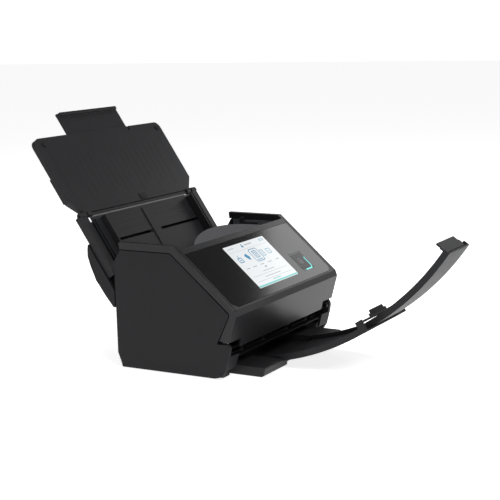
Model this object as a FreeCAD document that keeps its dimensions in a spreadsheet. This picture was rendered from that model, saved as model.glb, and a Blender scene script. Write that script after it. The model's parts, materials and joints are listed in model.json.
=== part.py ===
import FreeCAD, Part
import math
import os
import Sketcher
from FreeCAD import Placement, Rotation, Vector

# Sheet fed document scanner, open for use.  Millimetres, +Z up, front faces -Y, X is the width.
# Lengths along Y are written in the body's own layout and every node is moved by frame_shift,
# so that the finished object's box is centred on the origin.

SIZES = [
    ("frame_shift", 12.09, "layout Y of the origin"),
    # the body
    ("body_half", 152.0, "half the width of the body and hood"),
    ("skin", 6.0, "thickness of the side covers"),
    ("rear_y", 157.0, "rear face"),
    ("side_top_z", 165.4, "top edge of the side covers"),
    ("cheek_top_z", 43.0, "top of the front returns of the side covers"),
    ("slot_half", 124.0, "half width of the paper exit"),
    ("deck_z", 17.5, "underside of the deck over the output base"),
    ("deck_gauge", 3.0, "thickness of the deck"),
    # the hood
    ("hood_top_z", 176.0, "flat top of the hood rim"),
    ("hood_break_y", 59.7, "where the flat rim turns into the slope"),
    ("hood_rear_y", 147.0, "rear end of the rim"),
    ("brow_y", -31.5, "lower end of the slope, where the nose rounds over"),
    ("brow_z", 96.2, "height of the lower end of the slope"),
    ("nose_y", -34.4, "nose of the hood"),
    ("nose_z", 88.0, "height of the nose"),
    ("lip_y", -21.6, "lower edge of the hood front"),
    ("lip_z", 41.0, "height of the lower edge of the hood front"),
    ("rim_drop", 9.4, "height of the rim band at the sides"),
    ("rim_width", 8.4, "width of the rim around the control panel"),
    ("panel_gauge", 3.0, "thickness of the glossy control panel"),
    ("panel_start", 17.3, "top edge of the panel, down the slope from the break"),
    ("panel_length", 101.0, "control panel, measured down the slope"),
    ("screen_half", 56.5, "half the width of the touch screen"),
    ("screen_length", 78.4, "touch screen, measured down the slope"),
    ("screen_start", 26.2, "top edge of the screen, down the slope from the break"),
    ("key_x", 90.0, "centre of the square key"),
    ("key_size", 28.0, "side of the square key"),
    ("light_width", 2.4, "width of the light guide round the key"),
    ("hinge_y", -17.0, "hood hinge"),
    ("hinge_z", 42.0, "hood hinge height"),
    ("hump_half", 106.0, "half width of the raised lip behind the panel"),
    ("hump_depth", 34.0, "depth of the raised lip at its middle"),
    # the input tray
    ("tray_y", 212.7, "lower edge of the cover panel"),
    ("tray_z", 210.4, "height of the lower edge of the cover panel"),
    ("tray_angle", 56.3, "slope of the input tray in degrees"),
    ("tray_half", 128.0, "half width of the lower tray"),
    ("tray_reach", 111.4, "length of the lower tray down its slope"),
    ("tray_gauge", 3.0, "thickness of the lower tray"),
    ("arm_inner", 136.5, "inner face of the side arms"),
    ("arm_outer", 149.0, "outer face of the side arms"),
    ("cover_half", 155.0, "half width of the cover panel"),
    ("cover_length", 122.7, "length of the cover panel up its slope"),
    ("cover_gauge", 9.0, "thickness of the cover panel"),
    ("extension_half", 72.5, "half width of the extension"),
    ("extension_show", 36.0, "length of the extension beyond the cover panel"),
    ("extension_hold", 62.0, "length of the extension inside the cover panel"),
    ("guide_rest", 112.0, "paper face of each side guide from the middle"),
    ("guide_height", 13.0, "height of the side guides"),
    ("guide_slot", 50.0, "cross slot below the top edge of the lower tray"),
    # the paper path
    ("path_half", 134.0, "half width of the paper guides"),
    ("feed_radius", 9.0, "lower feed roller"),
    ("pick_radius", 11.0, "pick roller"),
    ("eject_radius", 6.0, "lower exit roller"),
    ("shaft_radius", 3.0, "roller shafts"),
    ("pulley_radius", 4.6, "toothed pulleys of the roller drive"),
    ("running_fit", 0.06, "radial clearance of a running shaft"),
    ("gap", 0.4, "clearance between moving pieces"),
    # the output trays
    ("arc_y", 27.0, "centre line of the output arc"),
    ("arc_z", 379.0, "height of the centre of the output arc"),
    ("arc_radius", 377.4, "radius of the underside of the first extension"),
    ("base_front_y", -57.0, "front edge of the output base"),
    ("base_rear_y", 60.0, "rear edge of the output base"),
    ("base_half", 118.0, "half width of the output base"),
    ("base_height", 14.0, "height of the output base"),
    ("first_half", 65.0, "half width of the first extension"),
    ("first_end", 33.7, "end of the first extension in degrees along the arc"),
    ("second_half", 37.0, "half width of the second extension"),
    ("second_end", 56.0, "end of the second extension in degrees along the arc"),
    ("tray_rim", 9.0, "height of the rims of the extensions"),
    ("stop_height", 22.0, "height of the second paper stop"),
]

doc = FreeCAD.newDocument("SheetFedScanner")
sheet = doc.addObject("Spreadsheet::Sheet", "Dims")
for row, (alias, value, note) in enumerate(SIZES, 1):
    sheet.set("A%d" % row, alias)
    sheet.set("B%d" % row, str(value))
    sheet.setAlias("B%d" % row, alias)
    sheet.set("C%d" % row, note)
doc.recompute()


class Size(float):
    """A length that remembers the sheet expression it comes from."""

    def __new__(cls, value, text):
        made = float.__new__(cls, value)
        made.text = text
        return made

    def __add__(self, other):
        return Size(float(self) + float(other), "(%s + %s)" % (self.text, words(other)))

    def __radd__(self, other):
        return Size(float(other) + float(self), "(%s + %s)" % (words(other), self.text))

    def __sub__(self, other):
        return Size(float(self) - float(other), "(%s - %s)" % (self.text, words(other)))

    def __rsub__(self, other):
        return Size(float(other) - float(self), "(%s - %s)" % (words(other), self.text))

    def __mul__(self, other):
        return Size(float(self) * float(other), "(%s * %s)" % (self.text, words(other)))

    __rmul__ = __mul__

    def __truediv__(self, other):
        return Size(float(self) / float(other), "(%s / %s)" % (self.text, words(other)))

    def __neg__(self):
        return Size(-float(self), "(-1 * %s)" % self.text)


def words(value):
    if isinstance(value, Size):
        return value.text
    return "(%.6f)" % value if value < 0 else "%.6f" % value


def dim(alias):
    return Size(float(sheet.get(alias)), "Dims." + alias)


def sine(angle):
    return Size(math.sin(math.radians(angle)), "sin(%s)" % words(angle))


def cosine(angle):
    return Size(math.cos(math.radians(angle)), "cos(%s)" % words(angle))


def bind(thing, prop, value):
    """Set a property from the sheet when the value comes from it, or else as a plain number."""
    if isinstance(value, Size):
        thing.setExpression(prop, value.text)
    elif "." in prop:
        thing.setExpression(prop, "%.6f" % value)
    else:
        setattr(thing, prop, value)


nodes = []
shift = dim("frame_shift")


def node(thing, label):
    """Name a finished sub-part and move it into the object's frame."""
    thing.Label = label
    placed = [text for prop, text in thing.ExpressionEngine if prop.endswith("Placement.Base.y")]
    base = placed[0] if placed else words(thing.Placement.Base.y)
    thing.setExpression("Placement.Base.y", "%s - %s" % (base, shift.text))
    nodes.append(thing)
    return thing


def outline_sketch(body, name, outline, x_from):
    """A closed outline of (Y, Z) corners on the body's YZ plane, set off along X."""
    sketch = body.newObject("Sketcher::SketchObject", name)
    plane = [f for f in body.Origin.OriginFeatures if f.Role == "YZ_Plane"][0]
    sketch.AttachmentSupport = [(plane, "")]
    sketch.MapMode = "FlatFace"
    count = len(outline)
    for i, (y, z) in enumerate(outline):
        y_next, z_next = outline[(i + 1) % count]
        start = Vector(float(y), float(z), 0)
        sketch.addGeometry(Part.LineSegment(start, Vector(float(y_next), float(z_next), 0)), False)
    for i in range(count):
        sketch.addConstraint(Sketcher.Constraint("Coincident", i, 2, (i + 1) % count, 1))
    for i, corner in enumerate(outline):
        for kind, value in zip(("DistanceX", "DistanceY"), corner):
            made = sketch.addConstraint(Sketcher.Constraint(kind, -1, 1, i, 1, float(value)))
            if isinstance(value, Size):
                sketch.setExpression("Constraints[%d]" % made, value.text)
    bind(sketch, "AttachmentOffset.Base.z", x_from)
    return sketch


def profile(label, steps, fillets=()):
    """A body padded and pocketed along X from outlines: (kind, outline, x from, x to) steps.

    fillets holds (kind, size, test) with a test that picks edges by their two end points.
    """
    body = doc.addObject("PartDesign::Body", label + "_body")
    for number, (kind, outline, x_from, x_to) in enumerate(steps):
        sketch = outline_sketch(body, "%s_outline_%d" % (label, number), outline, x_from)
        name = "PartDesign::Pad" if kind == "add" else "PartDesign::Pocket"
        feature = body.newObject(name, "%s_%s_%d" % (label, kind, number))
        feature.Profile = sketch
        feature.Reversed = kind == "cut"
        bind(feature, "Length", x_to - x_from)
        before = body.Shape.Volume if number else 0
        doc.recompute()
        changed = body.Shape.Volume - before
        if (changed <= 0) if kind == "add" else (changed >= 0):
            raise ValueError("step %d of %s changes nothing" % (number, label))
    for number, (kind, size, test) in enumerate(fillets):
        found = []
        for i, edge in enumerate(body.Shape.Edges, 1):
            if len(edge.Vertexes) == 2 and test(edge.Vertexes[0].Point, edge.Vertexes[1].Point):
                found.append("Edge%d" % i)
        if not found:
            raise ValueError("%s has no edge for %s %d" % (label, kind, number))
        base = body.Tip
        feature = body.newObject("PartDesign::" + kind, "%s_%s_%d" % (label, kind, number))
        feature.Base = (base, found)
        bind(feature, "Radius" if kind == "Fillet" else "Size", size)
        doc.recompute()
    return node(body, label)


def along_x(y, z, reach=0.5, x=None):
    """A test for the edges that run along X through (y, z)."""

    def test(a, b):
        near = max(abs(a.y - y), abs(a.z - z), abs(b.y - y), abs(b.z - z)) < reach
        return near and (x is None or min(abs(a.x - x), abs(b.x - x)) < 0.6)

    return test


def box(x0, x1, y0, y1, z0, z1):
    made = doc.addObject("Part::Box", "block")
    for prop, value in (("Length", x1 - x0), ("Width", y1 - y0), ("Height", z1 - z0)):
        bind(made, prop, value)
    for prop, value in (("x", x0), ("y", y0), ("z", z0)):
        bind(made, "Placement.Base." + prop, value)
    return made


def turned_box(x0, x1, at, low, high, angle):
    """A box in a slanted frame: at is the frame's (Y, Z), low and high are (up the slope, out)."""
    made = doc.addObject("Part::Box", "slanted_block")
    made.Placement.Rotation = Rotation(Vector(1, 0, 0), float(angle))
    if isinstance(angle, Size):
        made.setExpression("Placement.Rotation.Angle", angle.text)
    for prop, value in (
        ("Length", x1 - x0),
        ("Width", high[0] - low[0]),
        ("Height", high[1] - low[1]),
    ):
        bind(made, prop, value)
    bind(made, "Placement.Base.x", x0)
    bind(made, "Placement.Base.y", at[0] + low[0] * cosine(angle) - low[1] * sine(angle))
    bind(made, "Placement.Base.z", at[1] + low[0] * sine(angle) + low[1] * cosine(angle))
    return made


def rod(x0, x1, y, z, radius):
    """A cylinder along X."""
    made = doc.addObject("Part::Cylinder", "rod")
    made.Placement.Rotation = Rotation(Vector(0, 1, 0), 90)
    bind(made, "Radius", radius)
    bind(made, "Height", x1 - x0)
    for prop, value in (("x", x0), ("y", y), ("z", z)):
        bind(made, "Placement.Base." + prop, value)
    return made


def post(x, y, z0, z1, radius):
    """A cylinder along Z."""
    made = doc.addObject("Part::Cylinder", "post")
    bind(made, "Radius", radius)
    bind(made, "Height", z1 - z0)
    for prop, value in (("x", x), ("y", y), ("z", z0)):
        bind(made, "Placement.Base." + prop, value)
    return made


def fuse(pieces):
    if len(pieces) == 1:
        return pieces[0]
    made = doc.addObject("Part::MultiFuse", "joined")
    made.Shapes = list(pieces)
    return made


def cut(base, tools):
    made = doc.addObject("Part::Cut", "trimmed")
    made.Base = base
    made.Tool = fuse(tools)
    return made


def tyres(label, places, width, y, z, radius, bore):
    """Rubber tyres pressed on a shaft: each at its own X."""
    rings = []
    for x in places:
        rings.append(rod(x - width / 2, x + width / 2, y, z, radius))
    holes = [rod(min(places) - width, max(places) + width, y, z, bore)]
    return node(cut(fuse(rings), holes), label)


def wheel(x0, x1, y, z, tip, teeth, bore):
    """A toothed pulley: a disc with plain teeth up to the tip radius, round a bore."""
    pieces = [rod(x0, x1, y, z, tip - 0.6)]
    for k in range(teeth):
        angle = 360.0 * k / teeth
        pieces.append(turned_box(x0, x1, (y, z), (-0.5, tip - 1.4), (0.5, tip - 0.05), angle))
    return cut(fuse(pieces), [rod(x0 - 1, x1 + 1, y, z, bore)])


half = dim("body_half")
skin = dim("skin")
gap = dim("gap")
slope_y = dim("hood_break_y") - dim("brow_y")
slope_z = dim("hood_top_z") - dim("brow_z")
slope_length = math.hypot(slope_y, slope_z)
hood_angle = math.degrees(math.atan2(slope_z, slope_y))
tray_angle = dim("tray_angle")


def on_slope(down, out):
    """(Y, Z) on the hood's slope: distance down from the break, and out of the surface."""
    c = slope_y / slope_length
    s = slope_z / slope_length
    return (
        dim("hood_break_y") - c * down - s * out,
        dim("hood_top_z") - s * down + c * out,
    )


def on_tray(up, out):
    """(Y, Z) on the input tray: distance up from the cover's lower edge, and out of the surface."""
    return (
        dim("tray_y") + cosine(tray_angle) * up - sine(tray_angle) * out,
        dim("tray_z") + sine(tray_angle) * up + cosine(tray_angle) * out,
    )


def slab(frame, low, high):
    """A rectangle in a slanted frame, as an outline."""
    return [
        frame(low[0], low[1]),
        frame(high[0], low[1]),
        frame(high[0], high[1]),
        frame(low[0], high[1]),
    ]


def sides(label, build):
    """Build a left and a right piece from one recipe of (inner x, outer x) pairs."""
    build(label + "_left", lambda a, b: (-b, -a))
    build(label + "_right", lambda a, b: (a, b))


# ---------------------------------------------------------------- chassis
deck_top = dim("deck_z") + dim("deck_gauge")
inner = half - skin
board_z = deck_top + 4
frame_pieces = [
    cut(
        box(-inner + 0.2, inner - 0.2, -9, dim("rear_y") - 7.2, 2, deck_top),
        [
            box(-inner + 17, inner - 17, -40, 131, 0, dim("deck_z")),
            box(-inner + 17, inner - 17, -40, 4, 0, 40),
            box(-half, half, -40, 14, dim("deck_z"), 40),
        ],
    )
]
for x in (-90, -20, 54):
    for y in (96, 144):
        frame_pieces.append(post(x, y, deck_top - 1, board_z, 3))
node(fuse(frame_pieces), "base_frame")

rear_foot = dim("rear_y") - 6.6
cover_outline = [
    (0, 1.6),
    (rear_foot, 1.6),
    (dim("rear_y") - 5, 7.6),
    (dim("rear_y"), 21),
    (dim("rear_y"), 146),
    (dim("hood_rear_y") - 2.3, dim("side_top_z")),
    (dim("hood_break_y") + 4.6, dim("side_top_z")),
    (dim("nose_y") + 10.8, 91.2),
    (dim("nose_y") + 10.4, 87.4),
    (-5.4, 48.8),
    (-12, 49.6),
    (-20.3, 49.6),
    (-22.6, 47.4),
    (-23.6, dim("cheek_top_z")),
    (-21.6, 32),
    (-16.6, 13),
    (-11, 4.5),
]
return_outline = [
    (-21.6, 32),
    (-16.6, 13),
    (-13.8, 13),
    (-18.8, 32),
]


def side_cover(label, span):
    """A skin with a thin wall behind it, and a return that closes the front corner."""
    outer = span(inner, half)
    profile(
        label,
        [
            ("add", cover_outline, outer[0], outer[1]),
            ("add", return_outline) + span(dim("slot_half"), inner + 1),
        ],
        [("Fillet", 3.0, edges_at(outer, cover_outline))],
    )


def edges_at(span, outline):
    """The outer edges of a side cover, all round except its seam with the hood."""
    face = span[0] if abs(span[0]) > abs(span[1]) else span[1]

    def test(a, b):
        on_face = abs(a.x - face) < 0.1 and abs(b.x - face) < 0.1
        return on_face and min(a.y, b.y) > 100 and max(a.z, b.z) < 160

    return test


sides("side_cover", side_cover)

profile(
    "rear_cover",
    [
        (
            "add",
            [
                (rear_foot, 2),
                (dim("rear_y") - 5.2, 8),
                (dim("rear_y") - 0.2, 21),
                (dim("rear_y") - 0.2, 84),
                (dim("rear_y") - 3, 84),
                (dim("rear_y") - 3, 22),
                (dim("rear_y") - 6.4, 12),
            ],
            -inner + 0.2,
            inner - 0.2,
        ),
        ("cut", [(rear_foot - 4, 30), (170, 30), (170, 44), (rear_foot - 4, 44)], 96, 112),
        ("cut", [(rear_foot - 4, 31), (170, 31), (170, 42), (rear_foot - 4, 42)], 70, 83),
    ],
)

# The bulge behind the tray: a thin shell, closed at both ends.
shell_outer = [
    (dim("rear_y") + 0.3, 84.4),
    (160, 84.4),
    (172, 99),
    (187.5, 120),
    (196.5, 141),
    (200, 153),
    (199.8, 163),
    on_tray(-42, -11.5),
    on_tray(-116, -11.5),
]
shell_hollow = [
    (dim("rear_y") + 2.6, 87.4),
    (170, 100.8),
    (185, 121.2),
    (193.9, 141.8),
    (197.2, 153.6),
    (197, 161.4),
    on_tray(-46, -14),
    on_tray(-114, -14),
]
shell_lip = [
    (dim("rear_y") - 3, 84.4),
    (dim("rear_y") + 1, 84.4),
    (dim("rear_y") + 1, 92),
    (dim("rear_y") - 3, 92),
]
profile(
    "rear_shell",
    [
        ("add", shell_outer, -half + 0.4, half - 0.4),
        ("cut", shell_hollow, -half + 3.4, half - 3.4),
        ("add", shell_lip, -inner + 0.5, inner - 0.5),
    ],
)


def out_rod(x, up, out0, out1, radius):
    """A cylinder square to the tray."""
    made = doc.addObject("Part::Cylinder", "tray_post")
    made.Placement.Rotation = Rotation(Vector(1, 0, 0), float(tray_angle))
    made.setExpression("Placement.Rotation.Angle", tray_angle.text)
    y, z = on_tray(up, out0)
    bind(made, "Radius", radius)
    bind(made, "Height", out1 - out0)
    for prop, value in (("x", x), ("y", y), ("z", z)):
        bind(made, "Placement.Base." + prop, value)
    return made


# The lower tray with the cross slots of the side guides either side of a middle rib.
slot = dim("guide_slot")
lower_tray = turned_box(
    -dim("tray_half"), dim("tray_half"), on_tray(0, 0),
    (-dim("tray_reach"), -dim("tray_gauge")), (-8, 0), tray_angle,
)
rib = turned_box(-9, 9, on_tray(0, 0), (-104, -0.5), (-12, 1.4), tray_angle)
slots = []
for side in (-1, 1):
    near, far = (12, 120) if side > 0 else (-120, -12)
    slots.append(turned_box(near, far, on_tray(0, 0), (-slot - 2, -9), (-slot + 2, 9), tray_angle))
for x in (-36, 36):
    slots.append(turned_box(x - 13, x + 13, on_tray(0, 0), (-119, -9), (-107, 9), tray_angle))
pinion_post = out_rod(0, -slot, -10, -2, 2)
top_lip = turned_box(-122, 122, on_tray(0, 0), (-6, -8), (-0.6, 0), tray_angle)
node(fuse([cut(fuse([lower_tray, rib, top_lip]), slots), pinion_post]), "lower_tray")

# Side arms that carry the cover, with an eye round its hinge.
cover_axis = on_tray(-3, -1.5)


def tray_arm(label, span):
    a, b = span(dim("arm_inner"), dim("arm_outer"))
    bar = turned_box(a, b, on_tray(0, 0), (-97, -10.5), (-3, 1.5), tray_angle)
    eye = rod(a, b, cover_axis[0], cover_axis[1], 4.6)
    tie = span(dim("tray_half") - 2, dim("arm_inner") + 0.5)
    web = turned_box(tie[0], tie[1], on_tray(0, 0), (-100, -6.5), (-14, -3.1), tray_angle)
    hole = rod(a - 1, b + 1, cover_axis[0], cover_axis[1], 2 + dim("running_fit"))
    node(cut(fuse([bar, eye, web]), [hole]), label)


sides("tray_arm", tray_arm)

feet = []
for x in (-137.5, 137.5):
    for y in (6, 138):
        feet.append(post(x, y, 0, 2, 6.5))
node(fuse(feet), "rubber_feet")

# The paper path: straight from the tray, a bend, then a shallow run to the exit.
run = math.hypot(101, 22)
run_dir = (101 / run, 22 / run)


def off_path(y, out):
    """A point out from the shallow run at the given Y."""
    z = 28 + (y + 17) * 22 / 101
    return (y - run_dir[1] * out, z + run_dir[0] * out)


path = [on_tray(-119, 0), on_tray(-165.2, 0), (104, 57.5), (84, 50), off_path(-17, 0)]
path_under = [
    off_path(-17, -1.9),
    (84.5, 48.1),
    (105.2, 56),
    on_tray(-165.9, -1.9),
    on_tray(-119, -1.9),
]
feed_low = off_path(70, 0.8 - dim("feed_radius"))
feed_high = off_path(70, 0.8 + gap + 8)
exit_low = off_path(-5, 0.8 - dim("eject_radius"))
exit_high = off_path(-5, 0.8 + gap + 5)
pick_low = on_tray(-152, 0.8 - dim("pick_radius"))
brake_high = on_tray(-152, 0.8 + gap + 9)
shaft = dim("shaft_radius")
fit = dim("running_fit")


def slot_box(x0, x1, centre, radius):
    return box(x0, x1, centre[0] - radius - 1.5, centre[0] + radius + 1.5,
               centre[1] - radius - 1.5, centre[1] + radius + 1.5)


feed_places = (-90, -30, 30, 90)
exit_places = (-95, -35, 35, 95)
pick_places = (-32, 32)
lower_cuts = []
for x in feed_places:
    lower_cuts.append(slot_box(x - 9, x + 9, feed_low, dim("feed_radius")))
for x in exit_places:
    lower_cuts.append(slot_box(x - 8, x + 8, exit_low, dim("eject_radius")))
for x in pick_places:
    lower_cuts.append(slot_box(x - 14, x + 14, pick_low, dim("pick_radius")))
lower_cuts.append(box(-112, 112, 34, 52, 20, 60))
guide_blank = profile(
    "lower_guide", [("add", path + path_under, -dim("path_half"), dim("path_half"))]
)
nodes.remove(guide_blank)
guide_blank.setExpression("Placement.Base.y", None)
guide_blank.Placement.Base = Vector(0, 0, 0)
guide_blank.Label = "lower_guide_blank"
node(cut(guide_blank, lower_cuts), "lower_guide")


def bar_unit(label, glass_label, y, out_low, out_high, glass_low, glass_high):
    """A line sensor in its housing, with its glass strip let into the paper side."""
    angle = math.degrees(math.atan2(22, 101))
    at = off_path(y, 0)
    body = turned_box(-110, 110, at, (-8, out_low), (8, out_high), angle)
    pocket = turned_box(-108, 108, at, (-6, glass_low), (6, glass_high), angle)
    node(cut(body, [pocket]), label)
    node(turned_box(-108, 108, at, (-6, glass_low), (6, glass_high), angle), glass_label)


bar_unit("lower_scan_bar", "lower_scan_glass", 43, -15, -0.2, -2.2, -0.2)


def roller(label, centre, radius_body, span_body, span_shaft):
    """A roller core: a thick barrel on a thinner shaft."""
    barrel = rod(span_body[0], span_body[1], centre[0], centre[1], radius_body)
    thin = rod(span_shaft[0], span_shaft[1], centre[0], centre[1], shaft)
    node(fuse([barrel, thin]), label)


roller("feed_shaft", feed_low, 5, (-130, 130), (-139.5, 142.6))
tyres("feed_tyres", feed_places, 15, feed_low[0], feed_low[1], dim("feed_radius"), 5)
roller("pick_shaft", pick_low, 6, (-52, 52), (-139.5, 142.6))
tyres("pick_tyres", pick_places, 24, pick_low[0], pick_low[1], dim("pick_radius"), 6)
node(rod(-139.5, 142.6, exit_low[0], exit_low[1], shaft), "exit_shaft")
tyres("exit_tyres", exit_places, 13, exit_low[0], exit_low[1], dim("eject_radius"), shaft)

# Steel side plates below the path, bored for the shafts and the motor.
plate_outline = [
    (-12, 20.6),
    (150, 20.6),
    (150, 104),
    (144.5, 104),
    (126, 72),
    (108, 55),
    (86, 46.4),
    (4, 28.6),
    (-12, 31.5),
]
belt_lean = (feed_low[1] - exit_low[1]) / (feed_low[0] - exit_low[0])
motor_at = (112, exit_low[1] + (112 - exit_low[0]) * belt_lean)


def frame_plate(label, span):
    body = doc.addObject("PartDesign::Body", label + "_body")
    a, b = span(136.4, 138.4)
    sketch = outline_sketch(body, label + "_outline", plate_outline, a)
    pad = body.newObject("PartDesign::Pad", label + "_pad")
    pad.Profile = sketch
    bind(pad, "Length", b - a)
    bores = []
    for y, z in (feed_low, pick_low, exit_low):
        bores.append(rod(a - 1, b + 1, y, z, shaft + fit))
    if a > 0:
        bores.append(rod(a - 1, b + 1, motor_at[0], motor_at[1], 2 + fit))
    node(cut(body, bores), label)


sides("frame_plate", frame_plate)

# Equal toothed pulleys on the right: one belt from the motor to the feed and exit shafts,
# a second one from the motor to the pick shaft.
pulley_tip = dim("pulley_radius")
motor_pulley = wheel(138.9, 142.6, motor_at[0], motor_at[1], pulley_tip, 14, 1)
node(fuse([motor_pulley, rod(112, 142.6, motor_at[0], motor_at[1], 2)]), "motor_pulley")
node(wheel(138.9, 140.7, feed_low[0], feed_low[1], pulley_tip, 14, shaft), "feed_pulley")
node(wheel(140.9, 142.6, pick_low[0], pick_low[1], pulley_tip, 14, shaft), "pick_pulley")
node(wheel(138.9, 140.7, exit_low[0], exit_low[1], pulley_tip, 14, shaft), "exit_pulley")
motor_case = cut(
    fuse([
        rod(92, 134, motor_at[0], motor_at[1], 10.8),
        rod(134, 136.3, motor_at[0], motor_at[1], 5),
    ]),
    [rod(112, 137, motor_at[0], motor_at[1], 2 + fit)],
)
node(motor_case, "drive_motor")


def loop(centres, radius):
    """A closed wire of tangent lines and arcs round equal circles, in order, counterclockwise."""
    edges = []
    count = len(centres)
    offsets = []
    for i in range(count):
        (y0, z0), (y1, z1) = centres[i], centres[(i + 1) % count]
        far = math.hypot(y1 - y0, z1 - z0)
        offsets.append(((z1 - z0) / far * radius, -(y1 - y0) / far * radius))
    for i in range(count):
        before = offsets[i - 1]
        after = offsets[i]
        y, z = (float(v) for v in centres[i])
        mid = (before[0] + after[0], before[1] + after[1])
        if count == 2:
            mid = (-before[1], before[0])
        scale = radius / math.hypot(mid[0], mid[1])
        edges.append(
            Part.Arc(
                Vector(0, y + before[0], z + before[1]),
                Vector(0, y + mid[0] * scale, z + mid[1] * scale),
                Vector(0, y + after[0], z + after[1]),
            ).toShape()
        )
        y_next, z_next = (float(v) for v in centres[(i + 1) % count])
        edges.append(
            Part.LineSegment(
                Vector(0, y + after[0], z + after[1]),
                Vector(0, y_next + after[0], z_next + after[1]),
            ).toShape()
        )
    return Part.Wire(edges)


belt_inner = float(pulley_tip + gap)


def belt_band(centres, x0, wide):
    face = Part.Face([loop(centres, belt_inner + 0.9), loop(centres, belt_inner)])
    face.validate()
    band = face.extrude(Vector(wide, 0, 0))
    band.translate(Vector(x0, 0, 0))
    return band


belt = doc.addObject("Part::Feature", "belt_loops")
belt.Shape = Part.makeCompound(
    [belt_band([exit_low, motor_at], 139.0, 1.5), belt_band([motor_at, pick_low], 141.0, 1.5)]
)
node(belt, "drive_belts")

# Electronics on the deck behind the motor, with its two sockets at the rear.
board = fuse([
    box(-96, 60, 92, 148, board_z, board_z + 1.6),
    box(-60, -30, 104, 130, board_z + 1, board_z + 4.4),
    box(-10, 14, 108, 128, board_z + 1, board_z + 6),
    post(36, 122, board_z + 1, board_z + 10, 4),
    box(-90, -82, 98, 140, board_z + 1, board_z + 7),
])
node(board, "main_board")
node(cut(box(97, 111, 138, 156.6, 31, 43), [box(100, 108, 144, 158, 33.5, 41.5)]), "power_inlet")
node(cut(box(71, 82, 138, 156.6, 32, 41), [box(72.5, 80.5, 142, 158, 33.5, 39.5)]), "data_port")

# ---------------------------------------------------------------- input tray: guides, cover
def guide(label, span, side):
    """A fence on a flat foot, with a tab through the slot to its rack behind the tray."""
    face = dim("guide_rest")
    a, b = span(face, face + 2.4)
    f0, f1 = span(face, face + 13)
    t0, t1 = span(face + 3, face + 7)
    r0, r1 = span(-9.0, face + 7)
    fence = turned_box(a, b, on_tray(0, 0), (-74, gap), (-13, dim("guide_height")), tray_angle)
    foot = turned_box(f0, f1, on_tray(0, 0), (-76, gap), (-12, 2.4), tray_angle)
    tab = turned_box(t0, t1, on_tray(0, 0), (-slot - 1.5, -8.4), (-slot + 1.5, 1), tray_angle)
    low = 6.3 if side > 0 else -9.3
    rack = turned_box(r0, r1, on_tray(0, 0), (-slot + low, -8.4), (-slot + low + 3, -5.2), tray_angle)
    reach = sorted((0, low + 1))
    link = turned_box(t0, t1, on_tray(0, 0), (-slot + reach[0] - 1, -8.4), (-slot + reach[1] + 1, -5.2), tray_angle)
    node(fuse([fence, foot, tab, rack, link]), label)


guide("side_guide_left", lambda a, b: (-b, -a), -1)
guide("side_guide_right", lambda a, b: (a, b), 1)

pinion = cut(out_rod(0, -slot, -8.4, -5.0, 5.9), [out_rod(0, -slot, -9, -4, 2 + fit)])
node(pinion, "guide_pinion")

cover_len = dim("cover_length")
cover_back = dim("cover_gauge")
ext_half = dim("extension_half")
cover = profile(
    "cover_panel",
    [
        ("add", slab(on_tray, (0, -cover_back), (cover_len, 0)), -dim("cover_half"), dim("cover_half")),
        ("cut", slab(on_tray, (20, -6.6), (cover_len + 5, -2.2)), -ext_half - 1.2, ext_half + 1.2),
        ("cut", slab(on_tray, (cover_len - 7, -12), (cover_len + 5, 3)), 70.4, 73.7),
    ],
    [
        ("Chamfer", 20.0, lambda a, b: abs(abs(a.x) - float(dim("cover_half"))) < 0.1
         and abs(a.x - b.x) < 0.1 and max(a.y, b.y) < float(on_tray(8, -9)[0]) and abs(a.z - b.z) < 6),
        ("Fillet", 11.0, lambda a, b: abs(abs(a.x) - float(dim("cover_half"))) < 0.1
         and abs(a.x - b.x) < 0.1 and min(a.z, b.z) > float(on_tray(cover_len - 1, -9)[1]) - 0.5),
    ],
)
nodes.remove(cover)
cover.setExpression("Placement.Base.y", None)
cover.Placement.Base = Vector(0, 0, 0)
cover.Label = "cover_blank"
knuckles = []
knuckle_bores = []
for side in (-1, 1):
    x0, x1 = (124, 133) if side > 0 else (-133, -124)
    knuckles.append(rod(x0, x1, cover_axis[0], cover_axis[1], 4.2))
    knuckles.append(turned_box(x0, x1, on_tray(0, 0), (-3, -4.4), (4, 0), tray_angle))
    knuckle_bores.append(rod(x0 - 1, x1 + 1, cover_axis[0], cover_axis[1], 2 + fit))
flanges = []
for side in (-1, 1):
    x0, x1 = (151.4, 155) if side > 0 else (-155, -151.4)
    flanges.append(turned_box(x0, x1, on_tray(0, 0), (22, -11), (62, -4), tray_angle))
node(cut(fuse([cover] + knuckles + flanges), knuckle_bores), "cover_panel")

pins = []
for side in (-1, 1):
    x0, x1 = (124, 148) if side > 0 else (-148, -124)
    pins.append(rod(x0, x1, cover_axis[0], cover_axis[1], 2))
node(fuse(pins), "cover_hinge_pins")

bumpers = []
for x, up in ((-139, 112), (143, 112)):
    bumpers.append(out_rod(x, up, 0, 1.6, 3.6))
node(fuse(bumpers), "cover_bumpers")

show = dim("extension_show")
node(
    fuse([
        turned_box(-ext_half, ext_half, on_tray(0, 0), (cover_len - dim("extension_hold"), -6),
                   (cover_len + show, -2.8), tray_angle),
        turned_box(-ext_half + 3, ext_half - 3, on_tray(0, 0), (cover_len + show - 5, -8.4),
                   (cover_len + show, 1.2), tray_angle),
    ]),
    "tray_extension",
)

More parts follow.
